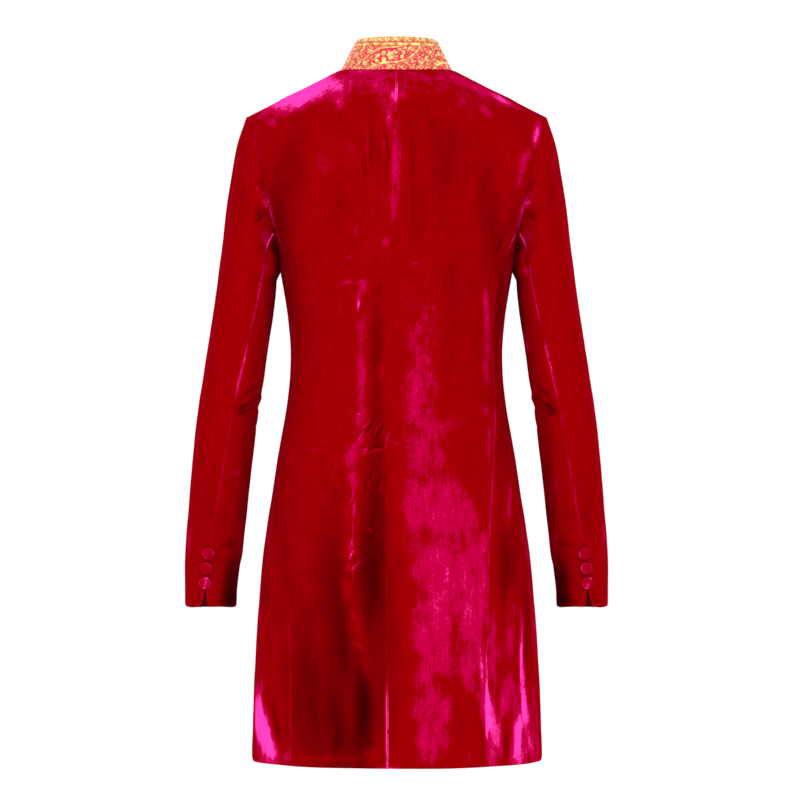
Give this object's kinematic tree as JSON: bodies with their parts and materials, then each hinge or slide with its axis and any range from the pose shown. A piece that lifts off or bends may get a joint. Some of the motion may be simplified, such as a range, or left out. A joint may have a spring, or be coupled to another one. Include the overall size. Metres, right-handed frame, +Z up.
{
  "type": "velvet jacket",
  "caption": "Long fitted jacket of crushed velvet with a brocade stand collar, covered buttons and long sleeves, hollow and in its worn shape.",
  "frame": {"origin": "middle of the neck opening, at the height where the collar meets the shoulder seams", "axes": "+Z up along the centre back, -Y the way the wearer faces, +X the wearer's left"},
  "size_m": [0.533, 0.2613, 0.8966],
  "materials": {
    "velvet": "crushed velvet pile",
    "brocade": "woven brocade with metal thread",
    "covered_button": "velvet cover"
  },
  "bodies": {
    "root": {"back_left": "velvet", "back_right": "velvet", "side_left": "velvet", "side_right": "velvet", "front_left": "velvet", "front_right": "velvet", "top_sleeve_left": "velvet", "top_sleeve_right": "velvet", "under_sleeve_left": "velvet", "under_sleeve_right": "velvet", "collar": "brocade", "cuff_button_left_1": "covered_button", "cuff_button_left_2": "covered_button", "cuff_button_left_3": "covered_button", "cuff_button_right_1": "covered_button", "cuff_button_right_2": "covered_button", "cuff_button_right_3": "covered_button", "front_button_1": "covered_button", "front_button_2": "covered_button", "front_button_3": "covered_button", "front_button_4": "covered_button", "front_button_5": "covered_button", "front_button_6": "covered_button", "front_button_7": "covered_button"}
  },
  "joints": []
}
